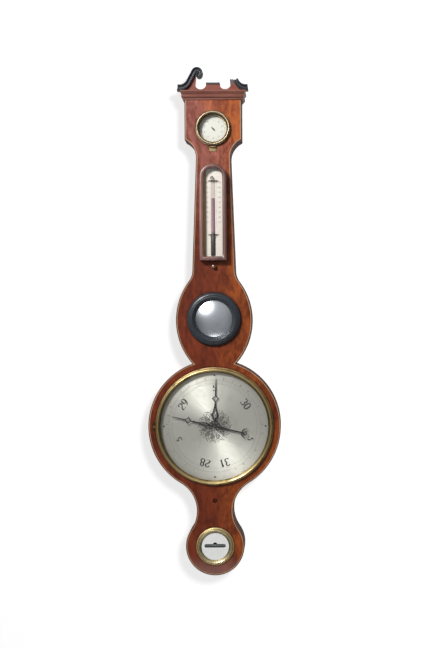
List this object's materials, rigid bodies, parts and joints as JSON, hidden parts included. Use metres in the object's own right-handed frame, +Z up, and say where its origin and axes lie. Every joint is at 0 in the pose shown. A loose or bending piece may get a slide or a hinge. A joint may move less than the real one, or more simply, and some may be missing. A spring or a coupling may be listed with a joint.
{
  "type": "wheel barometer",
  "caption": "Banjo-shaped wheel barometer with hinged glazed dial, float-driven hand, hygrometer, lift-off thermometer, convex mirror and spirit level.",
  "frame": {"origin": "centre of the hanging hole on the back plane of the case", "axes": "+Z up along the case, -Y towards the viewer (front), +X to the viewer's right"},
  "size_m": [0.254, 0.0543, 0.9729],
  "materials": {
    "mahogany": "french polished",
    "veneer": "french polished flame veneer",
    "boxwood": "polished",
    "ebonised": "ebonised polish",
    "stained_wood": "dark stained polish",
    "brass": "old lacquer",
    "silvered": "silvered and engraved",
    "white_plate": "bright silvered",
    "blued_steel": "blackened",
    "glass": "clear",
    "mirror": "silvered glass",
    "quicksilver": "liquid metal",
    "spirit": "dyed spirit",
    "silk": "waxed thread",
    "weight_glass": "milky glass"
  },
  "bodies": {
    "case": {"case_carcass": "mahogany", "cornice": "mahogany", "pediment_board": "mahogany", "tube_rests": "mahogany", "front_veneer": "veneer", "edge_stringing": "boxwood", "swan_neck": "ebonised", "broken_swan_neck": "ebonised", "plinth_cap": "ebonised", "mirror_frame": "ebonised", "hanging_plate": "brass", "brass_screws": "brass", "door_hinge_leaves": "brass", "hinge_pins": "brass", "bezel_hinge_leaf": "brass", "movement_bridge": "brass", "setting_bush": "brass", "tube_straps": "brass", "hygrometer_cup": "brass", "hygrometer_hinge_leaf": "brass", "thermo_cleat": "brass", "thermo_stop": "brass", "level_bezel": "brass", "dial_plate": "silvered", "hygrometer_plate": "white_plate", "level_plate": "white_plate", "dial_screws": "blued_steel", "siphon_tube": "glass", "level_vial": "glass", "mirror_glass": "mirror", "mercury_bend": "quicksilver", "mercury_long": "quicksilver", "mercury_short": "quicksilver", "set_cord": "silk", "float_thread": "silk", "counter_thread": "silk"},
    "door": {"back_door": "mahogany", "door_hinge_straps": "brass"},
    "button": {"door_button": "brass"},
    "bezel": {"main_bezel": "brass", "main_glass": "glass"},
    "hand": {"indicating_hand": "blued_steel", "hand_arbor": "brass", "float_pulley": "brass"},
    "set": {"set_hand": "blued_steel", "set_sleeve": "brass"},
    "setting": {"setting_arbor": "brass", "setting_pulley": "brass"},
    "float": {"float_weight": "weight_glass"},
    "counter": {"counterweight": "weight_glass"},
    "hygrometer_door": {"hygrometer_bezel": "brass", "hygrometer_glass": "glass"},
    "needle": {"hygrometer_pointer": "blued_steel"},
    "thermometer": {"thermo_frame": "stained_wood", "thermo_back": "stained_wood", "thermo_glass": "glass", "thermo_plate": "silvered", "thermo_tube": "glass", "thermo_spirit": "spirit", "thermo_wires": "brass"}
  },
  "joints": [
    {"name": "hand_turn", "type": "hinge", "parent": "case", "child": "hand", "pos_m": [0, 0, -0.649], "axis": [0, 1, 0], "range_deg": [-88, 242]},
    {"name": "float_slide", "type": "slide", "parent": "case", "child": "float", "axis": [0, 0, 1], "range_m": [-0.028, 0.0102], "deforming": ["float_thread", "mercury_short"]},
    {"name": "counter_slide", "type": "slide", "parent": "case", "child": "counter", "axis": [0, 0, 1], "range_m": [-0.0102, 0.028], "deforming": ["counter_thread", "mercury_long"]},
    {"name": "set_hand_turn", "type": "hinge", "parent": "case", "child": "set", "pos_m": [0, 0, -0.649], "axis": [0, 1, 0], "continuous": true},
    {"name": "setting_turn", "type": "hinge", "parent": "case", "child": "setting", "pos_m": [0, 0, -0.792], "axis": [0, 1, 0], "continuous": true},
    {"name": "bezel_open", "type": "hinge", "parent": "case", "child": "bezel", "pos_m": [-0.1154, -0.0404, -0.649], "axis": [0, 0, -1], "range_deg": [0, 110]},
    {"name": "hygrometer_open", "type": "hinge", "parent": "case", "child": "hygrometer_door", "pos_m": [0, -0.0404, -0.1139], "axis": [1, 0, 0], "range_deg": [0, 100]},
    {"name": "hygrometer_turn", "type": "hinge", "parent": "case", "child": "needle", "pos_m": [0, 0, -0.078], "axis": [0, 1, 0], "range_deg": [-150, 150]},
    {"name": "thermometer_lift", "type": "slide", "parent": "case", "child": "thermometer", "axis": [0, 0, 1], "range_m": [0, 0.022]},
    {"name": "door_open", "type": "hinge", "parent": "case", "child": "door", "pos_m": [-0.0282, -0.0016, -0.436], "axis": [0, 0, 1], "range_deg": [0, 90]},
    {"name": "button_turn", "type": "hinge", "parent": "case", "child": "button", "pos_m": [0.034, 0, -0.406], "axis": [0, 1, 0], "range_deg": [0, 90]}
  ],
  "couplings": [
    {"joint": "float_slide", "follows": "hand_turn", "m_per_rad": -0.006615},
    {"joint": "counter_slide", "follows": "hand_turn", "m_per_rad": 0.006615},
    {"joint": "setting_turn", "follows": "set_hand_turn", "ratio": 2}
  ]
}
